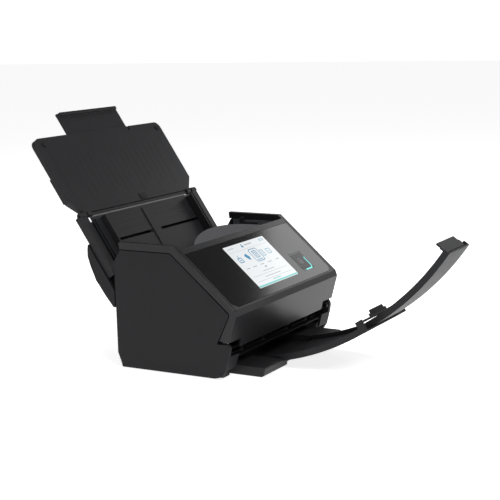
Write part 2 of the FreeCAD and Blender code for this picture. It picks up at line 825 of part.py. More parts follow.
# ---------------------------------------------------------------- hood
rim = dim("rim_width")
drop = dim("rim_drop")
front_dir = (dim("lip_y") - dim("nose_y")) / (dim("nose_z") - dim("lip_z"))
hood_outline = [
    (dim("hood_rear_y"), dim("hood_top_z")),
    (dim("hood_break_y"), dim("hood_top_z")),
    (dim("brow_y"), dim("brow_z")),
    (dim("nose_y"), dim("nose_z")),
    (dim("nose_y") + 35 * front_dir, dim("nose_z") - 35),
    (dim("nose_y") + 35 * front_dir + 3, dim("nose_z") - 35),
    (-8.6, 53.6),
    (dim("nose_y") + 9.8, dim("nose_z") + 0.2),
    (dim("nose_y") + 10.2, dim("nose_z") + 4.4),
    (dim("hood_break_y") + 4.4, dim("hood_top_z") - drop - 0.2),
    (dim("hood_rear_y") - 1, dim("hood_top_z") - drop - 0.2),
]
lip_outline = [
    (dim("nose_y") + 34 * front_dir, dim("nose_z") - 34),
    (dim("lip_y"), dim("lip_z")),
    (dim("lip_y") + 3, dim("lip_z") + 0.6),
    (dim("nose_y") + 34 * front_dir + 3, dim("nose_z") - 34),
]
recess_outline = [
    (dim("hood_break_y") - 6, dim("hood_top_z") + 10),
    (dim("hood_rear_y") + 10, dim("hood_top_z") + 10),
    (dim("hood_rear_y") + 10, dim("hood_top_z") - 30),
    (dim("hood_break_y") - 6, dim("hood_top_z") - 30),
]
panel_end = dim("panel_start") + dim("panel_length")
panel_half = half - rim
panel_seat = slab(on_slope, (dim("panel_start") - 0.3, -dim("panel_gauge") - 0.1), (panel_end + 0.3, 8))
window = slab(on_slope, (dim("panel_start") + 8, -30), (panel_end - 8, 8))
front_hollow = [
    (dim("nose_y") + 3.6, dim("nose_z") - 1),
    (dim("nose_y") + 35 * front_dir + 3, dim("nose_z") - 38),
    (30, dim("nose_z") - 38),
    (30, dim("nose_z") + 36),
    on_slope(panel_end - 2, -9.6),
    on_slope(panel_end + 8, -8),
]
hood = profile(
    "hood_shell",
    [
        ("add", hood_outline, -half, half),
        ("add", lip_outline, -dim("slot_half") + 2, dim("slot_half") - 2),
        ("cut", recess_outline, -half + 9, half - 9),
        ("cut", front_hollow, -half + 3, half - 3),
        ("cut", panel_seat, -panel_half, panel_half),
        ("cut", window, -panel_half + 8, panel_half - 8),
    ],
)

light = dim("light_width") + gap
key_low = dim("screen_start") + dim("screen_length") - 3.4
key_top = key_low - dim("key_size")
profile(
    "control_panel",
    [
        (
            "add",
            slab(on_slope, (dim("panel_start"), -dim("panel_gauge")), (panel_end, 0)),
            -panel_half + 0.3,
            panel_half - 0.3,
        ),
        (
            "cut",
            slab(on_slope, (dim("screen_start"), -6), (dim("screen_start") + dim("screen_length"), 3)),
            -dim("screen_half") - 0.1,
            dim("screen_half") + 0.1,
        ),
        (
            "cut",
            slab(on_slope, (key_top - light, -6), (key_low + light, 3)),
            dim("key_x") - dim("key_size") / 2 - light,
            dim("key_x") + dim("key_size") / 2 + light,
        ),
    ],
)
profile(
    "touch_screen",
    [
        (
            "add",
            slab(
                on_slope,
                (dim("screen_start") + 0.1, -2.8),
                (dim("screen_start") + dim("screen_length") - 0.1, -0.2),
            ),
            -dim("screen_half"),
            dim("screen_half"),
        )
    ],
)
profile(
    "scan_key",
    [
        (
            "add",
            slab(on_slope, (key_top, -6), (key_low, -0.1)),
            dim("key_x") - dim("key_size") / 2,
            dim("key_x") + dim("key_size") / 2,
        )
    ],
)
profile(
    "key_light",
    [
        (
            "add",
            slab(on_slope, (key_top - light + 0.1, -2.8), (key_low + light - 0.1, -0.3)),
            dim("key_x") - dim("key_size") / 2 - light + 0.1,
            dim("key_x") + dim("key_size") / 2 + light - 0.1,
        ),
        (
            "cut",
            slab(on_slope, (key_top - gap, -6), (key_low + gap, 3)),
            dim("key_x") - dim("key_size") / 2 - gap,
            dim("key_x") + dim("key_size") / 2 + gap,
        ),
    ],
)
profile(
    "display_board",
    [
        (
            "add",
            slab(on_slope, (dim("screen_start") + 1, -10.4), (key_low + 4, -8.8)),
            -dim("screen_half") - 14,
            dim("key_x") + 26,
        ),
        (
            "add",
            slab(on_slope, (dim("screen_start") + 4, -9.2), (key_low - 4, -3.0)),
            -dim("screen_half") + 4,
            dim("screen_half") - 4,
        ),
    ],
)

# The grey ramp behind the panel that hands the sheets to the rollers.
ramp = [
    (dim("hood_break_y") - 5.6, dim("hood_top_z") - drop - 1),
    (78, 157),
    (98, 141),
    (112, 122),
    (121, 103),
    (118.6, 102),
    (109.5, 120.4),
    (95.8, 138.6),
    (77, 153.8),
    (dim("hood_break_y") - 5.6, dim("hood_top_z") - drop - 4),
]
ramp_blank = profile("feed_ramp", [("add", ramp, -142.9, 142.9)])
nodes.remove(ramp_blank)
ramp_blank.setExpression("Placement.Base.y", None)
ramp_blank.Placement.Base = Vector(0, 0, 0)
ramp_blank.Label = "feed_ramp_blank"
hump_front = dim("hood_break_y") - 5.4
hump_rise = dim("hump_depth")
hump_round = (dim("hump_half") * dim("hump_half") + hump_rise * hump_rise) / (hump_rise * 2)
hump_centre = hump_front + hump_rise - hump_round
hump_tilt = math.degrees(math.atan2(12, hump_rise))


def hump(inset):
    """A lens in plan whose top climbs towards its round rear edge."""
    drum = post(0, hump_centre, 146 - inset, 190, hump_round - inset)
    above = turned_box(-half, half, (hump_front, 165 - inset), (-60, 0), (90, 60), hump_tilt)
    ahead = box(-half, half, -half * 2, hump_front + inset, 120, 200)
    behind = box(-half * 2, half * 2, -half * 4, hump_front + inset, 120, 200)
    return cut(drum, [above, ahead, behind])


hump_shell = cut(hump(0), [hump(2.4)])
node(fuse([ramp_blank, hump_shell]), "feed_ramp")


latch_at = (98, 161.5)
latch_foot = [box(136.4, 142.4, 96.4, 124, 159.9, 163.4), box(136.4, 142.4, 118, 124, 160, 170)]
node(fuse(latch_foot + [rod(136.4, 145.2, latch_at[0], latch_at[1], 1.5)]), "hood_latch")


def hood_cheek(label, span):
    """Inner side plate of the hood: carries the upper rollers and turns on the hinge pin."""
    a, b = span(143, 145.4)
    outline = [
        (dim("hood_rear_y") - 8, dim("hood_top_z") - drop - 0.4),
        (dim("hood_break_y") + 4, dim("hood_top_z") - drop - 0.4),
        (dim("nose_y") + 15, 92),
        (dim("nose_y") + 14, 80),
        (dim("hinge_y") - 1, 56),
        (dim("hinge_y") + 0.4, 47),
        (dim("hinge_y") + 3, 36),
        (-4, 33.4),
        (14, 38.5),
        (80, 52.6),
        (100, 61),
        (117, 77),
        (140, 111),
    ]
    blank = profile(label, [("add", outline, a, b)])
    nodes.remove(blank)
    blank.setExpression("Placement.Base.y", None)
    blank.Placement.Base = Vector(0, 0, 0)
    blank.Label = label + "_blank"
    eye = rod(a, b, dim("hinge_y"), dim("hinge_z"), 4.7)
    bores = [rod(a - 1, b + 1, dim("hinge_y"), dim("hinge_z"), 2.5 + fit)]
    for y, z in (feed_high, brake_high):
        bores.append(rod(a - 1, b + 1, y, z, shaft + fit))
    bores.append(rod(a - 1, b + 1, exit_high[0], exit_high[1], 2 + fit))
    if a > 0:
        bores.append(rod(a - 1, b + 1, latch_at[0], latch_at[1], 1.5 + fit))
    node(cut(fuse([blank, eye]), bores), label)


sides("hood_cheek", hood_cheek)

pins = []
for side in (-1, 1):
    x0, x1 = (142.5, 149) if side > 0 else (-149, -142.5)
    pins.append(rod(x0, x1, dim("hinge_y"), dim("hinge_z"), 2.5))
node(fuse(pins), "hood_hinge_pins")

upper_low = [on_tray(-125, 1.8), on_tray(-163.8, 1.8), (103, 59.1), (83.4, 51.8), off_path(-12, 1.8)]
upper_high = [
    off_path(-12, 3.6),
    (83, 53.6),
    (102, 60.7),
    on_tray(-163.2, 3.6),
    on_tray(-125, 3.6),
]
upper_cuts = []
for x in feed_places:
    upper_cuts.append(slot_box(x - 9, x + 9, feed_high, 8))
for x in exit_places:
    upper_cuts.append(slot_box(x - 8, x + 8, exit_high, 5))
for x in pick_places:
    upper_cuts.append(slot_box(x - 14, x + 14, brake_high, 9))
upper_cuts.append(box(-112, 112, 10, 30, 30, 60))
blank = profile("upper_guide", [("add", upper_low + upper_high, -136.2, 136.2)])
nodes.remove(blank)
blank.setExpression("Placement.Base.y", None)
blank.Placement.Base = Vector(0, 0, 0)
blank.Label = "upper_guide_blank"
ears = [box(-142.9, -136, 2, 12, 35.6, 48), box(136, 142.9, 2, 12, 35.6, 48)]
node(fuse([cut(blank, upper_cuts)] + ears), "upper_guide")
bar_unit("upper_scan_bar", "upper_scan_glass", 20, 2.8, 17, 2.8, 4.8)

roller("idler_shaft", feed_high, 4, (-130, 130), (-145.2, 145.2))
tyres("idler_tyres", feed_places, 15, feed_high[0], feed_high[1], 8, 4)
roller("brake_shaft", brake_high, 5, (-50, 50), (-145.2, 145.2))
tyres("brake_tyres", pick_places, 24, brake_high[0], brake_high[1], 9, 5)
exit_rolls = [rod(-145.2, 145.2, exit_high[0], exit_high[1], 2)]
for x in exit_places:
    exit_rolls.append(rod(x - 6.5, x + 6.5, exit_high[0], exit_high[1], 5))
node(fuse(exit_rolls), "exit_idlers")

# ---------------------------------------------------------------- output trays
arc_y = dim("arc_y")
arc_z = dim("arc_z")
arc_radius = dim("arc_radius")


def on_arc(degrees, radius):
    return (arc_y - radius * sine(degrees), arc_z - radius * cosine(degrees))


def sector(start, end, radius, x0, x1):
    """A slice of a disc about the output arc's axis, from one angle of the arc to another."""
    made = doc.addObject("Part::Cylinder", "sector")
    downwards = Rotation(Vector(1, 0, -1), 180)
    made.Placement.Rotation = Rotation(Vector(1, 0, 0), -float(start)).multiply(downwards)
    bind(made, "Radius", radius)
    bind(made, "Height", x1 - x0)
    bind(made, "Angle", end - start)
    for prop, value in (("x", x1), ("y", dim("arc_y")), ("z", dim("arc_z"))):
        bind(made, "Placement.Base." + prop, value)
    return made


def curved_tray(start, end, radius, width, wall):
    """A thin round-bottomed tray with a low rim along each side."""
    floor = rod(-width + wall, width - wall, dim("arc_y"), dim("arc_z"), radius - 2.4)
    above = rod(-width - 1, width + 1, dim("arc_y"), dim("arc_z"), radius - dim("tray_rim"))
    return cut(sector(start, end, radius, -width, width), [floor, above])


base_half = dim("base_half")
first_half = dim("first_half")
base_front = dim("base_front_y")
base_rear = dim("base_rear_y")
base_top = dim("base_height")
base = profile(
    "output_base",
    [
        (
            "add",
            [
                (base_front, base_top - 1.5),
                (base_front + 1.5, 3),
                (base_front + 5, 0.8),
                (base_rear, 0.8),
                (base_rear, base_top),
                (base_front + 3, base_top),
            ],
            -base_half,
            base_half,
        ),
        ("cut", [(base_front + 8, -1), (base_rear - 5, -1), (base_rear - 5, base_top - 2.5),
                 (base_front + 8, base_top - 2.5)], first_half + 4, base_half - 3),
        ("cut", [(base_front + 8, -1), (base_rear - 5, -1), (base_rear - 5, base_top - 2.5),
                 (base_front + 8, base_top - 2.5)], -base_half + 3, -first_half - 4),
        ("cut", [(base_front - 5, -1), (base_front + 12, -1), (base_front + 12, base_top),
                 (base_front - 5, base_top)], -52, 52),
    ],
)
nodes.remove(base)
base.setExpression("Placement.Base.y", None)
base.Placement.Base = Vector(0, 0, 0)
base.Label = "output_base_blank"
channel = rod(-first_half - 0.5, first_half + 0.5, dim("arc_y"), dim("arc_z"), arc_radius + 0.5)
node(cut(base, [channel]), "output_base")

first_end = dim("first_end")
second_end = dim("second_end")
stop_one_axis = on_arc(first_end - 0.9, arc_radius - 14.5)
uprights = []
for x0, x1 in ((-first_half, -first_half + 3), (first_half - 3, first_half)):
    uprights.append(
        turned_box(
            x0, x1, (dim("arc_y"), dim("arc_z")), (0, 0.3 - arc_radius), (11, 17.5 - arc_radius),
            -first_end,
        )
    )
node(
    fuse([curved_tray(9.8, first_end, arc_radius, first_half, 3.0)] + uprights),
    "output_extension_first",
)
r_second = arc_radius - 2.8
second_half = dim("second_half")
node(curved_tray(31, second_end, r_second, second_half, 2.6), "output_extension_second")
stop_two_axis = on_arc(second_end - 0.5, r_second - 5)


def stop(label, axis, turn, width_low, width_high, height, pin_half, pin_radius, lift):
    """A paper stop: a tapered plate standing on a cross rod, square to the tray at its axis."""
    angle = -float(turn)
    plate = turned_box(-width_low, width_low, axis, (-1.2, lift), (1.2, height * 0.55), angle)
    upper = turned_box(-width_high, width_high, axis, (-1.2, height * 0.5), (1.2, height), angle)
    pin = rod(-pin_half, pin_half, axis[0], axis[1], pin_radius)
    node(fuse([plate, upper, pin]), label)


stop("paper_stop_first", stop_one_axis, first_end - 0.9, 26, 20, 10.0, first_half - 3.3, 1.6, 0)
stop("paper_stop_second", stop_two_axis, second_end - 0.5, 33, 30, dim("stop_height") - 4,
     second_half - 3, 1.6, 0)

# ---------------------------------------------------------------- check and write
doc.recompute()
failed = [thing.Name for thing in doc.Objects if "Invalid" in thing.State or "Error" in thing.State]
if failed:
    raise RuntimeError("failed objects: " + ", ".join(failed))
os.makedirs("parts", exist_ok=True)
whole = FreeCAD.BoundBox()
for thing in nodes:
    shape = thing.Shape
    if shape.isNull() or not shape.isValid() or not shape.Solids:
        raise RuntimeError("bad shape: " + thing.Label)
    whole.add(shape.BoundBox)
for thing in nodes:
    thing.Shape.exportStep("parts/" + thing.Label + ".step")
    print("%-26s %d solid(s) %9.1f mm3" % (thing.Label, len(thing.Shape.Solids), thing.Shape.Volume))
print("nodes", len(nodes))
print("x %.2f %.2f  y %.2f %.2f  z %.2f %.2f" % (
    whole.XMin, whole.XMax, whole.YMin, whole.YMax, whole.ZMin, whole.ZMax))
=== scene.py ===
import json
import math

import bmesh
import bpy
from mathutils import Matrix, Vector


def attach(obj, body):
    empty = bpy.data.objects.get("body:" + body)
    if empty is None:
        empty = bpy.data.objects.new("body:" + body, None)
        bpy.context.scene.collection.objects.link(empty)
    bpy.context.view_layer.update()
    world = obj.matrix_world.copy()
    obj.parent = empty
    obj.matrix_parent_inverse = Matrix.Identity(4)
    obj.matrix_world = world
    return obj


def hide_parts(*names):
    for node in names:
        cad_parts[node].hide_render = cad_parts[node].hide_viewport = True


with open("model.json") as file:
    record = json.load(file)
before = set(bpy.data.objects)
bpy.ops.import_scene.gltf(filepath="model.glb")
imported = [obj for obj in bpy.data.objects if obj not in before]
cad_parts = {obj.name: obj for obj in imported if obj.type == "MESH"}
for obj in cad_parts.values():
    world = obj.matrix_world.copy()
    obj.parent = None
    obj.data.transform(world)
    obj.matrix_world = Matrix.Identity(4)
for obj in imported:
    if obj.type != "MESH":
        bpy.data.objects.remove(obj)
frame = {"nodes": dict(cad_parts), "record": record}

# ---------------------------------------------------------------- the object's own measures, mm
SHIFT_Y = -12.09
BREAK_Y, HOOD_TOP = 59.7, 176.0
BROW_Y, BROW_Z = -31.5, 96.2
TRAY_Y, TRAY_Z, TRAY_ANGLE = 212.7, 210.4, math.radians(56.3)
PANEL_TOP, PANEL_LONG = 17.3, 101.0
SCREEN_TOP, SCREEN_LONG, SCREEN_HALF = 26.2, 78.4, 56.5
KEY_X, KEY_SIZE = 90.0, 28.0
KEY_TOP = SCREEN_TOP + SCREEN_LONG - 3.4 - KEY_SIZE
COVER_LONG = 122.7
ARC_Y, ARC_Z, ARC_RADIUS = 27.0, 379.0, 377.4
BODY_HALF, RIM_WIDE, PANEL_GAP = 152.0, 8.4, 0.3
REAR_Y = 157.0

# A millimetre in metres, and how near two loose corners of a CAD mesh are joined, in metres.
MM = 0.001
WELD = 0.000002

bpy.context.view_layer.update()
nodes = frame["nodes"]


def place(x, y, z):
    """A point given in the object's working millimetres, as metres in the shared frame."""
    return Vector((x, y + SHIFT_Y, z)) * MM


slope_run = math.hypot(BREAK_Y - BROW_Y, HOOD_TOP - BROW_Z)
SLOPE_C = (BREAK_Y - BROW_Y) / slope_run
SLOPE_S = (HOOD_TOP - BROW_Z) / slope_run


def on_slope(x, down, out):
    """A point on the control slope: across, down from the upper edge, and out of the face."""
    return place(x, BREAK_Y - SLOPE_C * down - SLOPE_S * out,
                 HOOD_TOP - SLOPE_S * down + SLOPE_C * out)


def on_tray(x, up, out):
    """A point on the input tray: across, up the slope, and out towards the paper."""
    c, s = math.cos(TRAY_ANGLE), math.sin(TRAY_ANGLE)
    return place(x, TRAY_Y + c * up - s * out, TRAY_Z + s * up + c * out)


def on_arc(x, degrees, radius):
    """A point on the output arc: across, degrees forward of straight down, and from its centre."""
    turn = math.radians(degrees)
    return place(x, ARC_Y - radius * math.sin(turn), ARC_Z - radius * math.cos(turn))


# ---------------------------------------------------------------- materials
def from_srgb(text):
    """A hex colour such as 2A2A2C in linear light."""
    shades = [int(text[i:i + 2], 16) / 255 for i in (0, 2, 4)]
    return [s / 12.92 if s <= 0.04045 else ((s + 0.055) / 1.055) ** 2.4 for s in shades] + [1.0]


def add(tree, kind, links=(), inputs=(), **settings):
    """Add a shader node with its settings, the values of its inputs and the links into it."""
    made = tree.nodes.new("ShaderNode" + kind)
    for key, value in settings.items():
        setattr(made, key, value)
    for socket, value in inputs:
        made.inputs[socket].default_value = value
    for socket, source in links:
        tree.links.new(source, made.inputs[socket])
    return made


# How far the colour of a moulding takes to drift from one shade to the next, m.
DRIFT_LONG = 0.035


def moulding(name, shade, rough, grain_mm=0.5, relief=0.15, gloss=0.3, worn=0.25, coat=0.0,
             mottle=0.12, metal=0.0, brush=None):
    """A surface with slow colour drift, a fine grain in its gloss and relief, and worn edges."""
    made = bpy.data.materials.new(name)
    made.use_nodes = True
    tree = made.node_tree
    shader = tree.nodes["Principled BSDF"]
    shader.inputs["Metallic"].default_value = metal
    shader.inputs["Specular IOR Level"].default_value = gloss
    shader.inputs["Coat Weight"].default_value = coat
    shader.inputs["Coat Roughness"].default_value = 0.08
    where = add(tree, "TexCoord").outputs["Object"]
    if brush:
        where = add(tree, "Mapping", [("Vector", where)], [("Scale", brush)]).outputs[0]
    drift = add(tree, "TexNoise", [("Vector", where)], [("Scale", 1 / DRIFT_LONG), ("Detail", 3)])
    grain = add(tree, "TexNoise", [("Vector", where)],
                [("Scale", 1 / (grain_mm * MM)), ("Detail", 2)])
    base = from_srgb(shade)[:3]
    dark = [c * (1 - mottle) for c in base] + [1]
    light = [min(1, c * (1 + mottle)) for c in base] + [1]
    rubbed = [min(1, c * 2.2 + 0.02) for c in base] + [1]
    tint = add(tree, "Mix", [("Factor", drift.outputs["Fac"])], [("A", dark), ("B", light)],
               data_type="RGBA")
    # Where the rounded normal leaves the flat one there is an edge, and it wears in patches.
    rounded = add(tree, "Bevel", (), [("Radius", 0.0012)], samples=4)
    flat = add(tree, "NewGeometry").outputs["Normal"]
    facing = add(tree, "VectorMath", [(0, rounded.outputs[0]), (1, flat)], operation="DOT_PRODUCT")
    edge = add(tree, "MapRange", [("Value", facing.outputs["Value"])],
               [("From Min", 0.995), ("From Max", 0.9), ("To Max", worn)])
    patchy = add(tree, "Math", [(0, edge.outputs[0]), (1, drift.outputs["Fac"])],
                 operation="MULTIPLY")
    shown = add(tree, "Mix", [("Factor", patchy.outputs[0]), ("A", tint.outputs["Result"])],
                [("B", rubbed)], data_type="RGBA")
    tree.links.new(shown.outputs["Result"], shader.inputs["Base Color"])
    sheen = add(tree, "MapRange", [("Value", grain.outputs["Fac"])],
                [("To Min", max(0.02, rough - 0.07)), ("To Max", min(1, rough + 0.07))])
    tree.links.new(sheen.outputs[0], shader.inputs["Roughness"])
    bump = add(tree, "Bump", [("Height", grain.outputs["Fac"])],
               [("Strength", relief), ("Distance", grain_mm * 0.2 * MM)])
    tree.links.new(bump.outputs[0], shader.inputs["Normal"])
    return made


def glowing(name, shade, strength, rough=0.2):
    """A lit surface whose brightness drifts a little, as a backlight does."""
    made = moulding(name, "141617", rough, grain_mm=0.2, relief=0.02, worn=0.0)
    tree = made.node_tree
    shader = tree.nodes["Principled BSDF"]
    where = add(tree, "TexCoord").outputs["Object"]
    cloud = add(tree, "TexNoise", [("Vector", where)], [("Scale", 1 / 0.06)])
    level = add(tree, "MapRange", [("Value", cloud.outputs["Fac"])],
                [("To Min", strength * 0.92), ("To Max", strength * 1.08)])
    shader.inputs["Emission Color"].default_value = from_srgb(shade)
    tree.links.new(level.outputs[0], shader.inputs["Emission Strength"])
    return made


# Fine spark-eroded charcoal ABS: a dull, even dark grey that only lightens along its edges.
CHARCOAL = moulding("charcoal_abs_spark_texture", "1E1E20", 0.62, grain_mm=0.7, relief=0.3,
                    gloss=0.2)
# The same plastic on the trays, moulded smoother, so broad light slides across it.
TRAY_ABS = moulding("charcoal_abs_satin", "1F1F21", 0.5, grain_mm=0.5, relief=0.18, gloss=0.22)
# Satin black ABS on the hood rim and front: a soft light line along every edge.
RIM_ABS = moulding("black_abs_satin_rim", "19191B", 0.36, grain_mm=0.4, relief=0.08, gloss=0.3)
# Piano black acrylic on the control panel: deep black that holds a clear reflection.
PANEL_GLOSS = moulding("piano_black_acrylic", "09090A", 0.13, relief=0.0, gloss=0.35, worn=0.1)
# Polished black lip behind the panel, given a grey base colour lighter than its neighbours as a
# painted reflection of the light above it.
LIP_PAINTED_SHEEN = moulding("semi_gloss_lip_painted_reflection", "4A4A4D", 0.3, relief=0.03, gloss=0.6)
# Black acetal and ABS inside the paper path, dull and slightly dusty.
GUIDE_ABS = moulding("black_abs_paper_guide", "0E0E0F", 0.6, grain_mm=0.9, relief=0.2, gloss=0.12,
                     mottle=0.3)
# Zinc plated sheet with a faint brushed direction.
ZINC = moulding("zinc_plated_steel", "9EA1A6", 0.38, relief=0.1, metal=1.0, brush=(1, 1, 0.1))
# Ground steel shafts, bright with fine rings.
GROUND = moulding("ground_steel", "B9BCC0", 0.22, relief=0.06, metal=1.0, brush=(20, 1, 1))
# Ground rubber rollers: mid grey, powdery.
ROLLER = moulding("ground_epdm_rubber", "3D4044", 0.85, grain_mm=0.3, relief=0.4, gloss=0.15)
# Moulded black rubber of the feet and bumpers.
FOOT = moulding("moulded_nitrile_rubber", "1C1C1C", 0.8, relief=0.3, gloss=0.2)
# Black acetal pins and idlers, slightly waxy.
BLACK_ACETAL = moulding("black_acetal", "111112", 0.5, relief=0.05, gloss=0.15)
# Painted shadow: near-black strips laid where the bottoms of seams and step lines fall in shade.
SEAM_SHADE = moulding("painted_seam_shadow", "060607", 0.8, relief=0.1, gloss=0.05, worn=0.0)
# Milky white acetal wheels.
ACETAL = moulding("natural_acetal", "D8D7CF", 0.4, relief=0.05, gloss=0.5, worn=0.1, mottle=0.05)
# Black chloroprene belt.
BELT = moulding("black_chloroprene_belt", "171717", 0.75, relief=0.3)
# Green solder mask over glass fibre weave.
BOARD = moulding("green_solder_mask", "1D5C3A", 0.35, grain_mm=0.4, relief=0.15, gloss=0.5)
# Strip glass over the sensors: dark and clear.
STRIP = moulding("sensor_cover_glass", "20262A", 0.06, relief=0.01, gloss=0.8)
# Socket housings, glass filled nylon.
NYLON = moulding("glass_filled_nylon", "19191B", 0.55, relief=0.25)
# The lit display: soft white with a hint of blue.
DISPLAY = glowing("lit_display_white", "EEF1F3", 0.92)
# Blue picture elements on the display.
ICON_BLUE = glowing("display_icon_blue", "3F8FB8", 0.9)
# Pale blue picture elements.
ICON_PALE = glowing("display_icon_pale", "86B7CC", 0.9)
# Grey text-like rules.
RULE_GREY = glowing("display_rule_grey", "A4ABAF", 0.9)
# Teal strip along the bottom of the display.
STRIP_TEAL = glowing("display_strip_teal", "6FCFCB", 0.9)
# The light guide beside the key.
LIGHT_TEAL = glowing("light_guide_teal", "5FE0DA", 1.15)
# Unlit part of the light guide.
LIGHT_OFF = moulding("light_guide_unlit", "26302F", 0.3, relief=0.02, gloss=0.5)
# Satin key cap.
KEY_CAP = moulding("grey_abs_key_cap", "39393B", 0.42, relief=0.12, gloss=0.4)
# Pale print on the panel and key.
PRINT = moulding("pale_grey_print", "8D9094", 0.6, relief=0.02, worn=0.0)

finish_of = {}
for names, material in (
    ("base_frame side_cover_left side_cover_right rear_cover rear_shell hood_latch", CHARCOAL),
    ("tray_arm_left tray_arm_right lower_tray cover_panel tray_extension side_guide_left "
     "side_guide_right output_base output_extension_first output_extension_second "
     "paper_stop_first paper_stop_second", TRAY_ABS),
    ("hood_shell", RIM_ABS),
    ("control_panel", PANEL_GLOSS),
    ("feed_ramp", LIP_PAINTED_SHEEN),
    ("lower_guide upper_guide lower_scan_bar upper_scan_bar", GUIDE_ABS),
    ("hood_cheek_left hood_cheek_right frame_plate_left frame_plate_right drive_motor", ZINC),
    ("feed_shaft pick_shaft exit_shaft idler_shaft brake_shaft", GROUND),
    ("exit_idlers cover_hinge_pins hood_hinge_pins", BLACK_ACETAL),
    ("feed_tyres pick_tyres exit_tyres idler_tyres brake_tyres", ROLLER),
    ("cover_bumpers rubber_feet", FOOT),
    ("motor_pulley feed_pulley pick_pulley exit_pulley guide_pinion", ACETAL),
    ("drive_belts", BELT),
    ("main_board display_board", BOARD),
    ("lower_scan_glass upper_scan_glass", STRIP),
    ("power_inlet data_port", NYLON),
    ("touch_screen", DISPLAY),
    ("scan_key", KEY_CAP),
    ("key_light", LIGHT_OFF),
):
    for name in names.split():
        finish_of[name] = material
for name, thing in nodes.items():
    thing.data.materials.clear()
    thing.data.materials.append(finish_of[name])

body_of_node = {}
for body, names in frame["record"]["behaviour"]["bodies"].items():
    for name in names:
        body_of_node[name] = body


# ---------------------------------------------------------------- building pieces
def piece(label, mesh, material, owner, smooth=40):
    """Finish a bmesh as an object that rides with the body of the CAD node named by owner."""
    bmesh.ops.recalc_face_normals(mesh, faces=mesh.faces)
    for face in mesh.faces:
        face.smooth = True
    for edge in mesh.edges:
        if len(edge.link_faces) == 2:
            edge.smooth = edge.calc_face_angle(0) < math.radians(smooth)
    data = bpy.data.meshes.new(label)
    mesh.to_mesh(data)
    mesh.free()
    made = bpy.data.objects.new(label, data)
    bpy.context.scene.collection.objects.link(made)
    data.materials.append(material)
    even = made.modifiers.new("even_shading", "WEIGHTED_NORMAL")
    even.keep_sharp = True
    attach(made, body_of_node[owner])
    return made


def softened(name, width, label=None, segments=2, sharper_than=28):
    """A copy of a CAD node with its loose triangles joined and its sharp edges rounded."""
    mesh = bmesh.new()
    mesh.from_mesh(nodes[name].data)
    bmesh.ops.remove_doubles(mesh, verts=mesh.verts, dist=WELD)
    bmesh.ops.dissolve_limit(mesh, angle_limit=math.radians(1.0), verts=mesh.verts,
                             edges=mesh.edges, use_dissolve_boundaries=False)
    sharp = [edge for edge in mesh.edges
             if len(edge.link_faces) == 2 and edge.calc_length() > width * 1.2 * MM
             and edge.calc_face_angle(0) > math.radians(sharper_than)]
    bmesh.ops.bevel(mesh, geom=sharp, offset=width * MM, segments=segments, profile=0.5,
                    affect="EDGES", clamp_overlap=True, material=-1)
    made = piece(label or name + "_soft", mesh, finish_of[name], name)
    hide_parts(name)
    return made


def brick(mesh, corner_a, corner_b, at, round_mm=0.0, segments=2):
    """A rounded block in a slanted frame, between two corners (across, along, out)."""
    block = bmesh.ops.create_cube(mesh, size=1)["verts"]
    edges = {edge for vert in block for edge in vert.link_edges}
    faces = {face for vert in block for face in vert.link_faces}
    for vert in block:
        vert.co = at(*(max(a, b) if way > 0 else min(a, b)
                       for a, b, way in zip(corner_a, corner_b, vert.co)))
    bmesh.ops.recalc_face_normals(mesh, faces=list(faces))
    if round_mm:
        bmesh.ops.bevel(mesh, geom=list(edges), offset=round_mm * MM, segments=segments,
                        profile=0.5, affect="EDGES", material=-1)


def plate(mesh, outline, low, high, at, round_mm=0.0):
    """A plate with any outline of (across, along) corners, between two heights out of the face."""
    under = [mesh.verts.new(at(x, s, low)) for x, s in outline]
    over = [mesh.verts.new(at(x, s, high)) for x, s in outline]
    count = len(outline)
    top = mesh.faces.new(over)
    mesh.faces.new(list(reversed(under)))
    for i in range(count):
        j = (i + 1) % count
        mesh.faces.new([under[i], under[j], over[j], over[i]])
    if round_mm:
        bmesh.ops.bevel(mesh, geom=list(top.edges), offset=round_mm * MM, segments=3,
                        profile=0.5, affect="EDGES", material=-1)


def round_outline(x0, x1, s0, s1, radius, steps=5):
    """A rectangle with round corners."""
    points = []
    for cx, cs, start in ((x1 - radius, s1 - radius, 0), (x0 + radius, s1 - radius, 90),
                          (x0 + radius, s0 + radius, 180), (x1 - radius, s0 + radius, 270)):
        for k in range(steps + 1):
            turn = math.radians(start + 90 * k / steps)
            points.append((cx + radius * math.cos(turn), cs + radius * math.sin(turn)))
    return points


def strokes(mesh, paths, width, low, high, at):
    """Thin flat lines of one width along straight runs."""
    for (xa, sa), (xb, sb) in paths:
        length = math.hypot(xb - xa, sb - sa)
        px, ps = -(sb - sa) / length * width / 2, (xb - xa) / length * width / 2
        plate(mesh, [(xa + px, sa + ps), (xa - px, sa - ps),
                     (xb - px, sb - ps), (xb + px, sb + ps)], low, high, at)


def ring_outline(mesh, outer, inner, low, high, at):
    """A flat frame between two outlines with the same number of corners."""
    edges = []
    for outline in (outer, inner):
        loop = [mesh.verts.new(at(x, s, low)) for x, s in outline]
        edges += [mesh.edges.new(pair) for pair in zip(loop, loop[1:] + loop[:1])]
    ring = bmesh.ops.bridge_loops(mesh, edges=edges)["faces"]
    drawn = bmesh.ops.extrude_face_region(mesh, geom=ring)["geom"]
    bmesh.ops.translate(mesh, vec=at(0, 0, high) - at(0, 0, low),
                        verts=[item for item in drawn if isinstance(item, bmesh.types.BMVert)])


